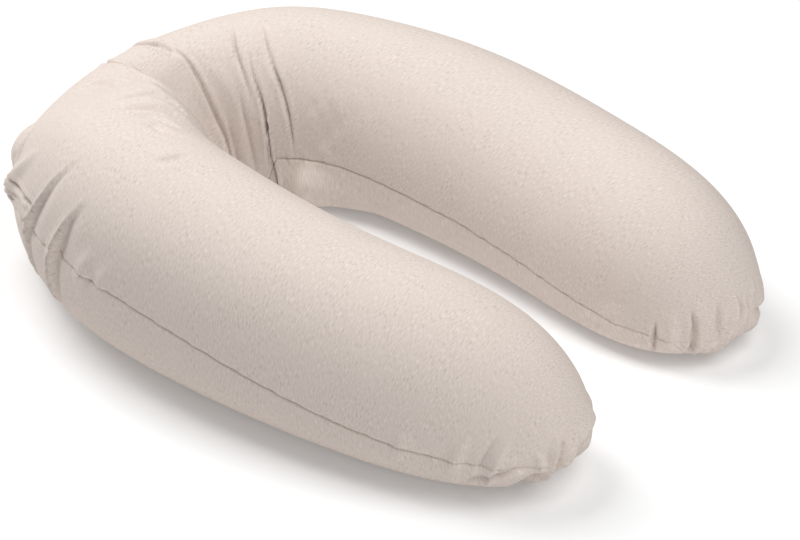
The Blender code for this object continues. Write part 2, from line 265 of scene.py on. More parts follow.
def seam_turn(along):
    """How far the inner seam is turned under at each place, in degrees: SEAM_TURN times a smooth
    step up and a smooth step down."""
    rise = ease((along - SEAM_TURN_START[0]) / (SEAM_TURN_START[1] - SEAM_TURN_START[0]))
    fall = ease((along - SEAM_TURN_END[0]) / (SEAM_TURN_END[1] - SEAM_TURN_END[0]))
    return SEAM_TURN * rise * (1.0 - fall)


def turned_angles(even, along):
    """Angle of each point: the columns beside the inner seam go with it where it is turned under,
    by its turn times the share of the reach that is left."""
    beside = np.maximum(1.0 - np.abs(even - INNER_SEAM) / SEAM_TURN_REACH, 0.0)
    return even[None, :] + seam_turn(along)[:, None] * beside[None, :]


along = row_places()
even = even_angles()
around = turned_angles(even, along)
form = filled_form(along, around)
stretch, girth, outward = grid_directions(form, along, around)


# --- The cover blown tight --------------------------------------------------------------------
# The filling presses the cover out until the cloth takes the strain, most where it is curved
# least.  Blender's cloth does that with air pressure on a coarser tube, a little smaller than the
# form, and only its unevenness is kept, because the sizes of the form are already the real ones.

CLOTH_SPACING = 0.010       # between the coarser tube's rows and columns
CLOTH_COLUMNS = 60
CLOTH_SMALLER = 0.004
CLOTH_PRESSURE = 4.0
CLOTH_FRAMES = 20
CLOTH_CAP = 0.012           # how far a point of the cloth may move
UNEVEN_CAP = 0.0020         # how far the cover may then stand from the form
LYING_HEIGHT = 0.030        # below this over the floor the cover lies as the form does
COLUMN_STEP = 360.0 / CLOTH_COLUMNS
FIRST_COLUMN = -90.0
WRAPPED = 3                 # columns repeated past each end, so that a curve round the tube closes


def nose(side):
    """The point of a tip where all the columns meet."""
    end = np.array([side * HALF_LENGTH])
    x, y, _ = middle_line(end)
    return np.array([x[0], y[0], section_value("seam_height", end)[0]]) - SOLID_MIDDLE


def tube_mesh(name, grid, noses):
    """A closed mesh of quads over a grid that wraps round, with a fan of triangles at each end."""
    rows, columns = grid.shape[:2]
    here = np.arange(columns)
    after = (here + 1) % columns
    low = (np.arange(rows - 1) * columns)[:, None]
    high = low + columns
    quads = np.stack([low + here, low + after, high + after, high + here], axis=2)
    last = (rows - 1) * columns
    first_fan = np.stack([np.full(columns, rows * columns), after, here], axis=1)
    last_fan = np.stack([np.full(columns, rows * columns + 1), last + here, last + after], axis=1)
    points = np.concatenate([grid.reshape(-1, 3), noses])
    loops = np.concatenate([quads.reshape(-1), first_fan.reshape(-1), last_fan.reshape(-1)])
    sizes = np.concatenate([np.full(quads.shape[0] * columns, 4), np.full(2 * columns, 3)])
    mesh = bpy.data.meshes.new(name)
    mesh.vertices.add(len(points))
    mesh.vertices.foreach_set("co", points.reshape(-1))
    mesh.loops.add(len(loops))
    mesh.loops.foreach_set("vertex_index", loops.astype(np.int32))
    mesh.polygons.add(len(sizes))
    starts = np.concatenate([[0], np.cumsum(sizes)[:-1]])
    mesh.polygons.foreach_set("loop_start", starts.astype(np.int32))
    mesh.update(calc_edges=True)
    mesh.validate()
    mesh.shade_smooth()
    return mesh


def blown(start, noses):
    """The grid of a tube's points after Blender's cloth has pressed it out with air.  The tube is
    removed again, and the frame set back."""
    tube = bpy.data.objects.new("blown_tube", tube_mesh("blown_tube", start, noses))
    bpy.context.scene.collection.objects.link(tube)
    cloth = tube.modifiers.new("cloth", "CLOTH")
    cloth.settings.use_pressure = True
    cloth.settings.uniform_pressure_force = CLOTH_PRESSURE
    cloth.settings.effector_weights.gravity = 0.0
    cloth.point_cache.frame_end = CLOTH_FRAMES
    for step in range(1, CLOTH_FRAMES + 1):
        bpy.context.scene.frame_set(step)
    settled = tube.evaluated_get(bpy.context.evaluated_depsgraph_get()).to_mesh()
    points = np.zeros(3 * len(settled.vertices))
    settled.vertices.foreach_get("co", points)
    bpy.data.meshes.remove(tube.data)
    bpy.context.scene.frame_set(1)
    return points.reshape(-1, 3)[:-len(noses)].reshape(start.shape)


def spread(values, knots, at):
    """Rows of values at the knots, carried to other places by a smooth curve through each
    column: the values weighed by the curves that are 1 at one knot and 0 at the rest."""
    weights = np.stack([smooth_curve(knots, unit, at) for unit in np.eye(len(knots))], axis=1)
    return weights @ values


def blown_relief(form, along, even):
    """How much further than usual the blown cloth stands out at each point of the form: its way
    outwards less the median.  What a whole cross-section moves is left out first, so that the
    tube keeps its course."""
    edge = np.concatenate([[0.0], np.cumsum(np.linalg.norm(np.diff(form[:, 0], axis=0), axis=1))])
    rows = int(edge[-1] / CLOTH_SPACING)
    coarse_along = np.interp(np.linspace(0.0, edge[-1], rows), edge, along)
    coarse_around = np.arange(CLOTH_COLUMNS) * COLUMN_STEP + FIRST_COLUMN
    angles = np.broadcast_to(coarse_around, (rows, CLOTH_COLUMNS))
    coarse = filled_form(coarse_along, angles)
    outward = grid_directions(coarse, coarse_along, angles)[2]
    start = coarse - CLOTH_SMALLER * outward
    moved = blown(start, noses) - start
    moved = np.sum((moved - moved.mean(axis=1, keepdims=True)) * outward, axis=2)
    moved = np.clip(moved, -CLOTH_CAP, CLOTH_CAP)
    uneven = np.clip(moved - np.median(moved), -UNEVEN_CAP, UNEVEN_CAP)
    uneven *= ease(coarse[..., 2] / LYING_HEIGHT)
    wrapped = np.concatenate([uneven[:, -WRAPPED:], uneven, uneven[:, :WRAPPED]], axis=1)
    turns = np.arange(-WRAPPED, CLOTH_COLUMNS + WRAPPED) * COLUMN_STEP + FIRST_COLUMN
    return spread(spread(wrapped, coarse_along, along).T, turns, even).T


noses = np.array([nose(-1), nose(1)])
relief = blown_relief(form, along, even)


# --- The roll over the bend -------------------------------------------------------------------
# The near leg is stuffed harder than the bend, so it swells towards the inside and ends in a full
# roll that hangs over the bend.  Beyond its edge the cover drops into a hollow.

ROLL_EDGE_COLUMNS = ("around", "along", "share")
ROLL_EDGE = (
    (72, 0.006, 0.00),
    (82, 0.003, 0.06),
    (94, 0.002, 0.20),
    (106, -0.006, 0.60),
    (116, -0.010, 0.97),
    (124, -0.010, 1.08),
    (134, -0.007, 1.02),
    (150, 0.000, 0.88),
    (164, 0.014, 0.50),
    (178, 0.030, 0.00),
)
ROLL_HEIGHT = 0.017
ROLL_PROFILE_COLUMNS = ("offset", "height")      # metres past the edge, shares of ROLL_HEIGHT
ROLL_PROFILE = (
    (-0.240, 0.00),
    (-0.200, 0.20),
    (-0.160, 1.00),
    (-0.120, 1.55),
    (-0.075, 1.60),
    (-0.030, 1.22),
    (-0.010, 1.06),
    (-0.0025, 1.00),
    (0.000, 0.80),
    (0.0020, 0.20),
    (0.0035, -0.50),
    (0.0060, -0.95),
    (0.0120, -1.05),
    (0.0250, -0.80),
    (0.0450, -0.35),
    (0.0700, 0.00),
)


def roll_relief(along, around, stretch):
    """Height of the roll: the profile read at the distance past its edge, times the edge's share
    and the roll's height."""
    knots = column(ROLL_EDGE, ROLL_EDGE_COLUMNS, "around")
    edge = np.interp(around, knots, column(ROLL_EDGE, ROLL_EDGE_COLUMNS, "along"))
    share = np.interp(around, knots, column(ROLL_EDGE, ROLL_EDGE_COLUMNS, "share"))
    offset = (along[:, None] - edge) * stretch
    profile = np.interp(offset, column(ROLL_PROFILE, ROLL_PROFILE_COLUMNS, "offset"),
                        column(ROLL_PROFILE, ROLL_PROFILE_COLUMNS, "height"))
    return ROLL_HEIGHT * share * profile


relief += roll_relief(along, around, stretch)


# --- Folds of the cover -----------------------------------------------------------------------
# Jersey is cut straight and bent with the tube, so it is too long inside the bend, where it
# creases, and is drawn tight outside it, where it stands in short folds that start at the seam.
# Each fold is a line on the cover and a profile across it.

# How the cloth stands across a fold: offset in widths, height in depths.  The offset is above zero
# at the left of the line, as seen from its first point to its last.
FOLD_PROFILES = {
    "crease": ((-5.0, 0.0), (-3.0, 0.16), (-1.6, 0.12), (-0.7, -0.28), (0.0, -1.0),
               (0.7, -0.28), (1.6, 0.12), (3.0, 0.16), (5.0, 0.0)),
    "ridge": ((-3.0, 0.0), (-2.0, 0.12), (-1.0, 0.6), (0.0, 1.0), (1.0, 0.6), (2.0, 0.12),
              (3.0, 0.0)),
    "lap": ((-6.0, 0.0), (-3.5, 0.16), (-1.5, 0.55), (-0.4, 0.72), (0.0, 0.7), (0.4, 0.3),
            (1.0, -0.7), (1.5, -0.75), (2.6, -0.3), (5.0, 0.0)),
    "hollow": ((-4.0, 0.0), (-1.6, 0.1), (-0.5, 0.28), (0.0, 0.38), (0.25, 0.3), (1.0, -0.48),
               (1.4, -0.62), (2.4, -0.56), (4.5, -0.34), (7.0, -0.12), (10.0, 0.0)),
}

# Each line's points are along in millimetres, around in degrees and the share of the depth.
FOLD_COLUMNS = ("profile", "width", "depth", "line")
FOLDS = (
    ("crease", 0.0017, 0.0115, ((148, 118, 0), (158, 130, .25), (169, 140, .45), (183, 152, .8),
                                (194, 169, 1), (200, 188, 1), (203, 208, 1), (204, 232, 0))),
    ("crease", 0.0021, 0.0055, ((127, 98, 0), (130, 109, .7), (133, 118, 1), (139, 126, .9),
                                (153, 139, .5), (171, 152, 0))),
    ("crease", 0.0021, 0.0058, ((156, 96, 0), (166, 108, .5), (181, 124, .8), (203, 140, 1),
                                (219, 154, .9), (227, 166, .6), (229, 176, 0))),
    ("crease", 0.0016, 0.0056, ((53, 90, 0), (62, 102, .6), (66, 109, .8), (71, 121, 1),
                                (77, 134, 1), (90, 151, 1), (101, 161, 1), (113, 172, .8),
                                (126, 190, .5), (134, 206, 0))),
    ("crease", 0.0019, 0.0075, ((39, 46, 0), (41, 60, .8), (43, 77, 1), (49, 89, 1), (54, 96, .7),
                                (60, 104, .4), (66, 112, 0))),
    ("ridge", 0.0050, 0.0026, ((44, 46, 0), (46, 60, .8), (50, 73, 1), (58, 88, .4), (66, 98, 0))),
    ("crease", 0.0036, 0.0030, ((112, 156, 0), (120, 166, 1), (134, 182, 1), (140, 200, 0))),
    ("crease", 0.0040, 0.0034, ((138, 142, 0), (150, 158, 1), (165, 178, 1), (172, 204, 0))),
    ("crease", 0.0022, 0.0105, ((22, 50, 0), (13, 60, .6), (6, 70, .9), (3, 80, 1), (2, 92, 1),
                                (-4, 104, .9), (-8, 117, .5), (-4, 130, 0))),
    ("crease", 0.0046, 0.0056, ((-56, 72, 0), (-50, 82, .6), (-42, 97, 1), (-70, 104, .9),
                                (-110, 110, .9), (-140, 115, 1), (-176, 120, .7), (-196, 126, 0))),
    ("crease", 0.0032, 0.0072, ((-184, 98, 0), (-192, 107, .8), (-200, 117, 1), (-214, 125, 1),
                                (-231, 132, .6), (-240, 138, 0))),
    ("crease", 0.0032, 0.0072, ((-210, 96, 0), (-219, 104, .8), (-231, 116, 1), (-246, 125, 1),
                                (-262, 133, .6), (-272, 139, 0))),
    ("crease", 0.0032, 0.0058, ((-232, 98, 0), (-243, 104, 1), (-255, 110, 1), (-272, 114, .7),
                                (-284, 118, 0))),
    ("crease", 0.0032, 0.0058, ((-262, 98, 0), (-270, 102, .9), (-288, 103, 1), (-298, 107, .7),
                                (-308, 112, 0))),
    ("crease", 0.0034, 0.0050, ((-320, 76, 0), (-329, 83, 1), (-334, 90, 1), (-342, 97, 0))),
    ("ridge", 0.0048, 0.0040, ((252, 176, 0), (251, 190, 1), (249, 206, 1), (246, 226, 0))),
    ("ridge", 0.0040, 0.0034, ((243, 184, 0), (242, 200, 1), (240, 216, 1), (238, 230, 0))),
    ("ridge", 0.0120, 0.0075, ((268, 186, 0), (260, 200, 1), (250, 214, 1), (238, 228, 0))),
    ("ridge", 0.0200, 0.0110, ((192, 234, 0), (226, 227, .8), (258, 222, 1), (292, 220, .7),
                               (336, 220, 0))),
    ("hollow", 0.0024, 0.0088, ((-208, -40, 0), (-203, -22, .6), (-203, -5, .9), (-211, 3, 1),
                                (-222, 13, .95), (-233, 24, .8), (-242, 36, .55), (-250, 47, .3),
                                (-260, 60, 0))),
    ("hollow", 0.0030, 0.0120, ((-235, -42, 0), (-244, -26, .7), (-249, -14, .9), (-253, -5, 1),
                                (-261, 5, 1), (-269, 14, .85), (-276, 23, .55), (-283, 30, .3),
                                (-291, 40, 0))),
    ("ridge", 0.0100, 0.0080, ((-110, 52, 0), (-122, 43, .7), (-130, 35, 1), (-134, 27, .8),
                               (-140, 20, 0))),
    ("crease", 0.0028, 0.0066, ((-136, 56, 0), (-142, 47, .7), (-148, 38, 1), (-152, 29, 1),
                                (-154, 21, 0))),
    ("ridge", 0.0072, 0.0086, ((-108, -8, 0), (-122, 0, .9), (-134, 7, 1), (-147, 13, 1),
                               (-160, 20, .8), (-174, 27, .6), (-186, 35, .4), (-198, 46, 0))),
    ("crease", 0.0020, 0.0070, ((-136, 18, 0), (-156, 16, .8), (-176, 16, 1), (-196, 16, 1),
                                (-212, 16, .7), (-226, 17, 0))),
    ("crease", 0.0018, 0.0050, ((-126, 6, 0), (-136, 7, 1), (-153, 7, 1), (-172, 9, .8),
                                (-188, 11, 0))),
    ("crease", 0.0018, 0.0040, ((-128, 0, 0), (-140, 2, 1), (-160, 4, 1), (-180, 6, 0))),
    ("ridge", 0.0030, 0.0034, ((-190, 18, 0), (-200, 15, 1), (-208, 13, 1), (-214, 10, 0))),
    ("ridge", 0.0030, 0.0034, ((-196, 8, 0), (-206, 8, 1), (-214, 8, 1), (-220, 6, 0))),
    ("ridge", 0.0048, 0.0040, ((-292, -10, 0), (-298, 0, 1), (-306, 9, .8), (-314, 18, 0))),
    ("ridge", 0.0042, 0.0032, ((-316, -8, 0), (-322, 1, 1), (-330, 10, .8), (-338, 18, 0))),
)
MILLIMETRE = 0.001
PATH_STEPS = 5              # pieces of the smooth line between two of a fold's points
NARROWING = 0.6             # how much narrower a fold is where its share runs out
SHORTENING = 3.0            # how much shorter than its middle the tube is inside the bend, at most


def signed_distances(path, across, upward, across_scale, upward_scale):
    """Distance of each point from a broken line, and the share at the nearest place on it.

    Each piece of the line is seen from the point, in metres by the local scales.  The distance is
    above zero where the point is at the line's left, with `across` to the right and `upward` up.
    """
    nearest = np.full(across.shape, np.inf)
    share = np.zeros(across.shape)
    side = np.ones(across.shape)
    for (a0, a1, a_share), (b0, b1, b_share) in zip(path[:-1], path[1:]):
        start0 = (a0 - across) * across_scale
        start1 = (a1 - upward) * upward_scale
        way0 = (b0 - a0) * across_scale
        way1 = (b1 - a1) * upward_scale
        part = np.clip(-(start0 * way0 + start1 * way1) / (way0**2 + way1**2 + TINY), 0.0, 1.0)
        distance = np.hypot(start0 + part * way0, start1 + part * way1)
        closer = distance < nearest
        nearest = np.where(closer, distance, nearest)
        share = np.where(closer, a_share + (b_share - a_share) * part, share)
        side = np.where(closer, np.sign(way0 * -start1 + way1 * start0), side)
    return nearest * side, share


def eased_path(line):
    """The line's points joined by smooth curves, as a finer broken line."""
    points = np.array(line, dtype=float)
    knots = np.arange(len(points), dtype=float)
    at = np.linspace(0.0, len(points) - 1.0, (len(points) - 1) * PATH_STEPS + 1)
    smooth = np.stack([smooth_curve(knots, points[:, k], at) for k in range(3)], axis=1)
    smooth[:, 2] = np.clip(smooth[:, 2], 0.0, 1.0)
    return smooth


def fold_height(fold, offset, share):
    """Height of a fold at an offset from its line: the profile read in widths, which shrink as
    the share of the depth runs out, times the depth and the share."""
    profile = np.array(FOLD_PROFILES[fold["profile"]])
    widths = offset / (fold["width"] * (1.0 - NARROWING * (1.0 - share)))
    return fold["depth"] * share * np.interp(widths, profile[:, 0], profile[:, 1])


def fold_relief(along, around, stretch, girth):
    """Height of all the folds over the smooth form, each worked out on the rows that it reaches."""
    relief = np.zeros(stretch.shape)
    for fold in rows_of(FOLDS, FOLD_COLUMNS):
        path = eased_path(fold["line"])
        path[:, 0] *= MILLIMETRE
        widest = np.abs(np.array(FOLD_PROFILES[fold["profile"]])[:, 0]).max()
        reach = fold["width"] * widest * SHORTENING
        rows = (along > path[:, 0].min() - reach) & (along < path[:, 0].max() + reach)
        across = np.broadcast_to(along[rows, None], around[rows].shape)
        offset, share = signed_distances(path, across, around[rows], stretch[rows], girth[rows])
        relief[rows] += fold_height(fold, offset, share)
    return relief


relief += fold_relief(along, around, stretch, girth)


# --- Gathers at the two tips ------------------------------------------------------------------
# Each tip is a half-round cut in both panels and eased together, so short folds cross the seam
# there.  side is -1 for the near leg.  The points of a line are the distance round the tip from
# its nose, above zero on the leg's outer side, and the height over the floor, in millimetres,
# and the share of the depth.

TIP_RADIUS = 0.090          # of the round that the seam follows, seen from above
TIP_START = 0.45            # along a leg, where the gathers of its tip begin to count
TIP_FADE = 0.08             # and the length over which they come to count in full
TIP_FOLD_COLUMNS = ("side", "profile", "width", "depth", "line")
TIP_FOLDS = (
    (-1, "ridge", 0.0034, 0.0034, ((136, 80, 0), (141, 68, .7), (146, 59, 1), (149, 48, 1),
                                   (152, 36, .4), (154, 26, 0))),
    (-1, "ridge", 0.0030, 0.0056, ((95, 77, 0), (102, 65, .6), (107, 56, 1), (111, 47, 1),
                                   (115, 38, .8), (118, 31, .3), (121, 25, 0))),
    (-1, "crease", 0.0024, 0.0030, ((104, 84, 0), (113, 70, .7), (119, 60, 1), (124, 50, .9),
                                    (127, 38, 0))),
    (-1, "ridge", 0.0030, 0.0044, ((88, 60, 0), (94, 53, .8), (100, 48, 1), (106, 43, 0))),
    (-1, "crease", 0.0022, 0.0044, ((140, 28, 0), (131, 33, 1), (120, 37, 1), (104, 41, .9),
                                    (92, 44, .5), (84, 46, 0))),
    (-1, "ridge", 0.0030, 0.0036, ((132, 24, 0), (118, 31, .8), (104, 36, 1), (90, 39, 1),
                                   (80, 42, 0))),
    (-1, "ridge", 0.0050, -0.0120, ((60, 38, 0), (66, 31, .8), (73, 24, 1), (79, 15, 1),
                                    (82, 5, 1), (83, -4, 1))),
    (-1, "ridge", 0.0030, 0.0048, ((68, 60, 0), (66, 52, .8), (65, 44, 1), (66, 36, 0))),
    (-1, "ridge", 0.0030, 0.0066, ((46, 74, 0), (49, 62, .8), (53, 52, 1), (56, 42, 1),
                                   (57, 32, .6), (56, 22, 0))),
    (-1, "crease", 0.0022, 0.0060, ((38, 68, 0), (42, 58, .8), (46, 48, 1), (48, 38, .8),
                                    (48, 28, 0))),
    (-1, "ridge", 0.0036, 0.0066, ((22, 72, 0), (28, 60, .6), (33, 50, 1), (38, 40, 1),
                                   (42, 32, 0))),
    (-1, "lap", 0.0044, 0.0058, ((30, 50, 0), (14, 55, .8), (2, 57, 1), (-10, 57, 1),
                                 (-24, 58, 0))),
    (-1, "ridge", 0.0090, -0.0080, ((56, 16, 0), (36, 24, 1), (16, 28, 1), (0, 22, 0))),
    (-1, "ridge", 0.0046, 0.0034, ((194, 76, 0), (195, 66, 1), (197, 54, 1), (199, 40, 0))),
    (-1, "ridge", 0.0070, 0.0034, ((-36, 70, 0), (-38, 56, 1), (-40, 42, 1), (-42, 26, 0))),
    (-1, "crease", 0.0026, 0.0040, ((-62, 70, 0), (-62, 56, 1), (-63, 42, 1), (-64, 24, 0))),
    (-1, "ridge", 0.0070, 0.0036, ((-78, 70, 0), (-82, 56, 1), (-84, 42, 1), (-86, 26, 0))),
    (-1, "ridge", 0.0070, 0.0030, ((-126, 66, 0), (-128, 56, 1), (-130, 44, 1), (-132, 32, 0))),
    (1, "crease", 0.0022, 0.0070, ((-84, 54, 0), (-84, 45, .7), (-84, 37, 1), (-85, 26, 1),
                                   (-86, 14, 0))),
    (1, "ridge", 0.0044, 0.0040, ((-66, 66, 0), (-67, 52, .7), (-68, 40, 1), (-68, 28, .8),
                                  (-68, 16, 0))),
    (1, "crease", 0.0024, 0.0074, ((-48, 66, 0), (-47, 58, .6), (-46, 50, .9), (-46, 41, 1),
                                   (-47, 28, 1), (-53, 16, 0))),
    (1, "ridge", 0.0040, 0.0052, ((-38, 78, 0), (-40, 66, .6), (-41, 54, 1), (-41, 42, 1),
                                  (-42, 30, .9), (-44, 16, 0))),
    (1, "crease", 0.0026, 0.0046, ((-20, 72, 0), (-20, 62, .6), (-21, 52, 1), (-22, 42, 1),
                                   (-24, 30, 0))),
    (1, "ridge", 0.0030, 0.0084, ((2, 72, 0), (-1, 61, .7), (-6, 50, 1), (-10, 41, 1),
                                  (-15, 32, .8), (-18, 22, 0))),
    (1, "crease", 0.0022, 0.0066, ((12, 68, 0), (7, 58, .8), (1, 50, 1), (-3, 42, .8),
                                   (-6, 32, 0))),
    (1, "ridge", 0.0036, 0.0050, ((12, 62, 0), (10, 53, 1), (9, 44, 1), (8, 34, .7), (6, 24, 0))),
    (1, "crease", 0.0022, 0.0034, ((28, 72, 0), (24, 65, 1), (22, 59, .8), (20, 50, 0))),
    (1, "ridge", 0.0040, 0.0030, ((36, 74, 0), (31, 66, 1), (28, 57, .8), (26, 48, 0))),
    (1, "lap", 0.0056, 0.0050, ((92, 36, 0), (70, 38, 1), (54, 41, 1), (40, 44, .8), (26, 48, 0))),
    (1, "ridge", 0.0080, 0.0040, ((62, 24, 0), (46, 29, 1), (30, 28, 1), (14, 22, 0))),
    (1, "ridge", 0.0080, 0.0040, ((-2, 14, 0), (-14, 18, 1), (-26, 18, 1), (-38, 14, 0))),
    (1, "ridge", 0.0070, 0.0032, ((118, 66, 0), (120, 54, 1), (122, 40, 1), (124, 26, 0))),
    (1, "ridge", 0.0060, 0.0030, ((-130, 60, 0), (-129, 48, 1), (-128, 36, 1), (-127, 24, 0))),
)


def rim_distance(grid, side):
    """Distance round a tip from its nose, for each point, above zero on the leg's outer side.

    Ahead of the centre of the tip's round it is an angle times the radius, and behind the
    centre it runs straight back along the leg.
    """
    x, y, heading = middle_line(np.array([side * (HALF_LENGTH - TIP_RADIUS)]))
    ahead = np.array([np.cos(heading[0]), -np.sin(heading[0])]) * side
    outward_way = np.array([np.sin(heading[0]), np.cos(heading[0])])
    reach = grid[..., :2] + SOLID_MIDDLE[:2] - np.array([x[0], y[0]])
    forward = reach @ ahead
    sideways = reach @ outward_way
    bent = TIP_RADIUS * np.arctan2(np.abs(sideways), np.maximum(forward, TINY))
    straight = TIP_RADIUS * np.pi / 2.0 - forward
    return np.sign(sideways) * np.where(forward > 0.0, bent, straight)


def tip_relief(grid, along):
    """Height of the gathers, each read at the distance from its line, round the tip and in
    height, and fading to nothing behind the tip."""
    relief = np.zeros(grid.shape[:2])
    for gather in rows_of(TIP_FOLDS, TIP_FOLD_COLUMNS):
        rows = gather["side"] * along > TIP_START
        fade = ease((gather["side"] * along[rows] - TIP_START) / TIP_FADE)[:, None]
        path = eased_path(gather["line"])
        path[:, :2] *= MILLIMETRE
        rim = rim_distance(grid[rows], gather["side"])
        offset, share = signed_distances(path, rim, grid[rows][..., 2], 1.0, 1.0)
        relief[rows] += fade * fold_height(gather, offset, share)
    return relief


relief += tip_relief(form, along)


# --- The seam ---------------------------------------------------------------------------------
# The two panels are joined by a plain turned seam.  Its stitches pull the cloth inwards, so it
# lies in a thin groove, and eases the longer panel in with small gathers.

SEAM_WIDTH = 0.0011
SEAM_DEPTH = 0.0024
GATHER_LENGTHS = (0.0105, 0.0168, 0.0293)   # waves along the seam that add up to uneven gathers
GATHER_HEIGHT = 0.00035
GATHER_REACH = 0.0080
GATHER_SHIFT = 0.6          # radians by which the gathers above and below the seam are shifted
ROUND = 2.0                 # bluntness of the round in which the seam fades out at the noses


def seam_relief(along, even, around, girth):
    """The groove along the seam, which falls off as the exponential of the distance from it, and
    gathers beside it: a sum of sine waves along the seam, shifted on each side of it and at each
    of the two seams."""
    turn = np.radians(even)[None, :]
    seam_angle = np.where(np.cos(turn) > 0.0, 0.0, INNER_SEAM + seam_turn(along)[:, None])
    from_seam = np.abs((around - seam_angle + 180.0) % 360.0 - 180.0) * girth
    groove = -SEAM_DEPTH * np.exp(-from_seam / SEAM_WIDTH)
    which_seam = np.sign(np.cos(turn))
    which_side = np.sign(np.sin(turn))
    waves = np.zeros(around.shape)
    for k, length in enumerate(GATHER_LENGTHS, 1):
        turns = 2.0 * np.pi * along[:, None] / length
        waves += np.sin(turns + k * which_seam + GATHER_SHIFT * which_side)
    return groove + GATHER_HEIGHT * waves * np.exp(-((from_seam / GATHER_REACH) ** 2))


relief += seam_relief(along, even, around, girth) * tip_rounding(along, ROUND)[:, None]
cover = form + outward * relief[..., None]
cover[..., 2] = np.maximum(cover[..., 2], 0.0)


# --- The cover's mesh -------------------------------------------------------------------------
# One closed skin over panels, seam and folds, because the panels are one piece once sewn.  Its
# UV map is the flat cut panel in metres, so that the knit runs as it did before sewing.

FAR_TURNING = 0.68          # share of the far half's bend that was cut into the panels
# An arc is near the root of its run squared and this share of its drop squared, added together.
ARC_SHARE = 4.0 / 3.0


def panel_ways(reached, far_turning):
    """The middle line's place at each row, and the sine and cosine of its heading there."""
    x, y, heading = middle_line(reached, far_turning)
    return x[:, None], y[:, None], np.sin(heading)[:, None], np.cos(heading)[:, None]


def panel_places(form, reached, level):
    """Places on a flat panel: out from the middle line by the length of the arc that starts at
    the given level there and ends at the point.  `reached` is the place of each row on the line,
    held at the centre of the round for the rows of a tip."""
    x, y, sine, cosine = panel_ways(reached, 1.0)
    east = form[..., 0] + SOLID_MIDDLE[0] - x
    north = form[..., 1] + SOLID_MIDDLE[1] - y
    forward = east * cosine - north * sine
    sideways = east * sine + north * cosine
    run = np.hypot(forward, sideways) + TINY
    arc = np.sqrt(run**2 + ARC_SHARE * (form[..., 2] - level) ** 2) / run
    x, y, sine, cosine = panel_ways(reached, FAR_TURNING)
    flat_x = x + (forward * cosine + sideways * sine) * arc
    flat_y = y + (sideways * cosine - forward * sine) * arc
    return np.stack([flat_x, flat_y], axis=2)


# The upper panel is measured from the crown and the lower one from the floor.
reached = np.clip(along, TIP_RADIUS - HALF_LENGTH, HALF_LENGTH - TIP_RADIUS)
upper = panel_places(form, reached, section_value("height", reached)[:, None])
lower = panel_places(form, reached, 0.0)
mesh = tube_mesh("filled_cover", cover, noses)
# Each point has a place on both panels, and each face takes those of the panel it is cut from.
tip_ends = np.stack([panel[[0, -1]].mean(axis=1) for panel in (upper, lower)], axis=1)
flat = np.concatenate([np.stack([upper, lower], axis=2).reshape(-1, 2, 2), tip_ends])
above = (even >= 0.0) & (even < INNER_SEAM)
of_face = np.where(np.tile(above, len(along) + 1), 0, 1)
corners = np.zeros(len(mesh.loops), dtype=np.int32)
mesh.loops.foreach_get("vertex_index", corners)
sizes = np.zeros(len(mesh.polygons), dtype=np.int32)
mesh.polygons.foreach_get("loop_total", sizes)
panel_uv = flat[corners, np.repeat(of_face, sizes)]
mesh.uv_layers.new(name="panel").data.foreach_set("uv", panel_uv.reshape(-1))
pillow = bpy.data.objects.new("filled_cover", mesh)
bpy.context.scene.collection.objects.link(pillow)


# --- Melange cotton jersey --------------------------------------------------------------------
# Cotton jersey knitted from yarn of two tones, oatmeal with some darker fibre.  It is matt, and
# the eye sees short flecks along the courses, gathered in loose patches, over a soft fine knit.

OATMEAL = "#D3C7BF"
DARK_FIBRE = "#B5A99F"
PALE_FIBRE = "#E7DDD5"
FLECK_LENGTH = 0.0034       # a run of one tone in the yarn shows as a dash of 3 to 4 mm
FLECK_THICKNESS = 0.0010    # a course is 0.6 mm, drawn at 1 mm, which is as fine as shows
FLECK_SCALE = 0.7
FLECK_DETAIL = 2.0
PATCH_SCALE = 35.0          # the flecks gather in patches about 30 mm wide
DARK_NOISE = (0.54, 0.72)   # the noise where dark fibre begins to show, and where it is full
PALE_NOISE = (0.46, 0.28)
PATCH_NOISE = (0.35, 0.65)
FULL_SHARE = (0.0, 1.0)
PALE_SHARE = (0.0, 0.6)
PATCH_SHARE = (0.25, 0.8)
KNIT_HEIGHT = 0.0004
KNIT_STRENGTH = 0.7
JERSEY_ROUGHNESS = 0.95
DULL = 0.1                  # level of the clear reflection on cloth and on matt board
MIX_FIRST = 6               # a Mix node's two colour inputs and its colour output
MIX_SECOND = 7
MIX_RESULT = 2


def linear(hex_colour):
    """An sRGB hex value as linear red, green, blue and 1.  A part is divided by 12.92 if it is
    dark, and else has 0.055 added, is divided by 1.055 and raised to 2.4."""
    parts = np.array([int(hex_colour[k:k + 2], 16) / 255.0 for k in (1, 3, 5)])
    colour = np.where(parts <= 0.04045, parts / 12.92, ((parts + 0.055) / 1.055) ** 2.4)
    return tuple(colour) + (1.0,)


def add_node(tree, kind, feeds=(), **settings):
    """Adds a node, sets its properties and its inputs' constants by name, with _ for a space,
    and links each (input, socket) pair of feeds."""
    made = tree.nodes.new(kind)
    for key, value in settings.items():
        if hasattr(made, key):
            setattr(made, key, value)
        else:
            made.inputs[key.replace("_", " ")].default_value = value
    for name, socket in feeds:
        tree.links.new(socket, made.inputs[name])
    return made


def share_of(tree, noise, noise_range, share_range):
    """A share that runs evenly over its range while the noise runs over its own."""
    low, high = noise_range
    least, most = share_range
    cut = add_node(tree, "ShaderNodeMapRange", [("Value", noise.outputs["Fac"])],
                   From_Min=low, From_Max=high, To_Min=least, To_Max=most)
    return cut.outputs[0]


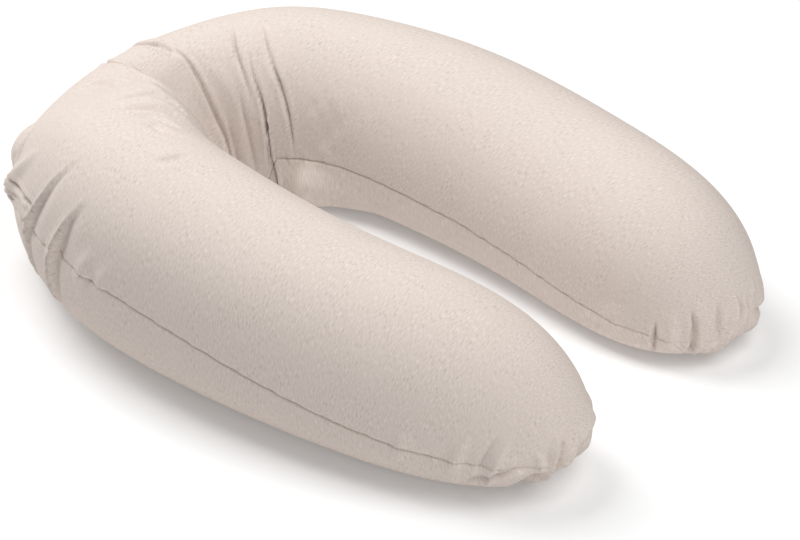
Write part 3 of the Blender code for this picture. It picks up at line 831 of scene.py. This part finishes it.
def mixed(tree, share, first, second):
    """The first colour with a share of the second.  A colour is a constant or another's result."""
    mix = add_node(tree, "ShaderNodeMix", [(0, share)], data_type="RGBA")
    mix.inputs[MIX_SECOND].default_value = second
    if isinstance(first, tuple):
        mix.inputs[MIX_FIRST].default_value = first
    else:
        tree.links.new(first, mix.inputs[MIX_FIRST])
    return mix.outputs[MIX_RESULT]


def jersey_material():
    """Flecks are stretched noise on the flat panel, cut to dashes and gathered by wide noise."""
    material = bpy.data.materials.new("melange_cotton_jersey")
    material.use_nodes = True
    tree = material.node_tree
    shader = tree.nodes["Principled BSDF"]
    shader.inputs["Roughness"].default_value = JERSEY_ROUGHNESS
    shader.inputs["Specular IOR Level"].default_value = DULL
    place = add_node(tree, "ShaderNodeUVMap", uv_map="panel").outputs["UV"]
    fine = add_node(tree, "ShaderNodeMapping", [("Vector", place)],
                    Scale=(1.0 / FLECK_LENGTH, 1.0 / FLECK_THICKNESS, 1.0))
    dashes = add_node(tree, "ShaderNodeTexNoise", [("Vector", fine.outputs[0])],
                      Scale=FLECK_SCALE, Detail=FLECK_DETAIL)
    patches = add_node(tree, "ShaderNodeTexNoise", [("Vector", place)],
                       Scale=PATCH_SCALE, Detail=FLECK_DETAIL)
    dark_cut = share_of(tree, dashes, DARK_NOISE, FULL_SHARE)
    patch_cut = share_of(tree, patches, PATCH_NOISE, PATCH_SHARE)
    dark_share = add_node(tree, "ShaderNodeMath", [(0, dark_cut), (1, patch_cut)],
                          operation="MULTIPLY")
    pale_share = share_of(tree, dashes, PALE_NOISE, PALE_SHARE)
    with_pale = mixed(tree, pale_share, linear(OATMEAL), linear(PALE_FIBRE))
    with_dark = mixed(tree, dark_share.outputs[0], with_pale, linear(DARK_FIBRE))
    tree.links.new(with_dark, shader.inputs["Base Color"])
    bump = add_node(tree, "ShaderNodeBump", [("Height", dashes.outputs["Fac"])],
                    Strength=KNIT_STRENGTH, Distance=KNIT_HEIGHT)
    tree.links.new(bump.outputs[0], shader.inputs["Normal"])
    return material


pillow.data.materials.append(jersey_material())
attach(pillow, "root")
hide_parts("pillow")


# --- Floor, light and camera ------------------------------------------------------------------
# A plain white floor that glows a little, under wide soft light from above and from the front,
# and the photograph's viewing angle.

FLOOR_WHITE = "#E7E7E7"
FLOOR_REACH = 9.0
FLOOR_ROUGHNESS = 0.9
FLOOR_GLOW = 0.15
WHITE = (1.0, 1.0, 1.0, 1.0)
WORLD_STRENGTH = 0.05
LAMP_AIM = (0.0, 0.0, 0.0)
LAMP_COLUMNS = ("name", "place", "size", "power")
LAMPS = (
    ("back_softbox", (0.0, 1.38, 2.20), 1.8, 51.0),
    ("low_back_softbox", (0.0, 2.25, 1.30), 1.6, 17.5),
    ("front_softbox", (0.0, -1.38, 2.20), 1.8, 40.0),
    ("low_front_softbox", (-2.08, -2.08, 1.70), 2.1, 23.0),
)
CAMERA_PLACE = (-1.85162, -1.35659, 1.50922)
CAMERA_AIM = (-0.05543, -0.09301, 0.08304)
CAMERA_LENS = 128.13        # millimetres, on a sensor this wide
CAMERA_SENSOR = 36.0

floor_mesh = bpy.data.meshes.new("floor")
floor_corners = [(-FLOOR_REACH, -FLOOR_REACH, 0.0), (FLOOR_REACH, -FLOOR_REACH, 0.0),
                 (FLOOR_REACH, FLOOR_REACH, 0.0), (-FLOOR_REACH, FLOOR_REACH, 0.0)]
floor_mesh.from_pydata(floor_corners, [], [(0, 1, 2, 3)])
floor = bpy.data.objects.new("floor", floor_mesh)
bpy.context.scene.collection.objects.link(floor)
board = bpy.data.materials.new("matt_white_board")
board.use_nodes = True
board_inputs = board.node_tree.nodes["Principled BSDF"].inputs
board_inputs["Base Color"].default_value = linear(FLOOR_WHITE)
board_inputs["Roughness"].default_value = FLOOR_ROUGHNESS
board_inputs["Specular IOR Level"].default_value = DULL
board_inputs["Emission Color"].default_value = WHITE
board_inputs["Emission Strength"].default_value = FLOOR_GLOW
floor_mesh.materials.append(board)

world = bpy.data.worlds.new("studio")
world.use_nodes = True
world.node_tree.nodes["Background"].inputs["Color"].default_value = WHITE
world.node_tree.nodes["Background"].inputs["Strength"].default_value = WORLD_STRENGTH
bpy.context.scene.world = world


def turned_to(place, aim):
    """The rotation of a lamp or a camera at a place that looks at its aim."""
    return (Vector(aim) - Vector(place)).to_track_quat("-Z", "Y").to_euler()


for softbox in rows_of(LAMPS, LAMP_COLUMNS):
    light = bpy.data.lights.new(softbox["name"], "AREA")
    light.size = softbox["size"]
    light.energy = softbox["power"]
    lamp = bpy.data.objects.new(softbox["name"], light)
    lamp.location = softbox["place"]
    lamp.rotation_euler = turned_to(softbox["place"], LAMP_AIM)
    bpy.context.scene.collection.objects.link(lamp)

camera = bpy.data.objects.new("camera", bpy.data.cameras.new("camera"))
camera.data.sensor_width = CAMERA_SENSOR
camera.data.lens = CAMERA_LENS
camera.location = CAMERA_PLACE
camera.rotation_euler = turned_to(CAMERA_PLACE, CAMERA_AIM)
bpy.context.scene.collection.objects.link(camera)
bpy.context.scene.camera = camera
bpy.context.scene.view_settings.view_transform = "Standard"
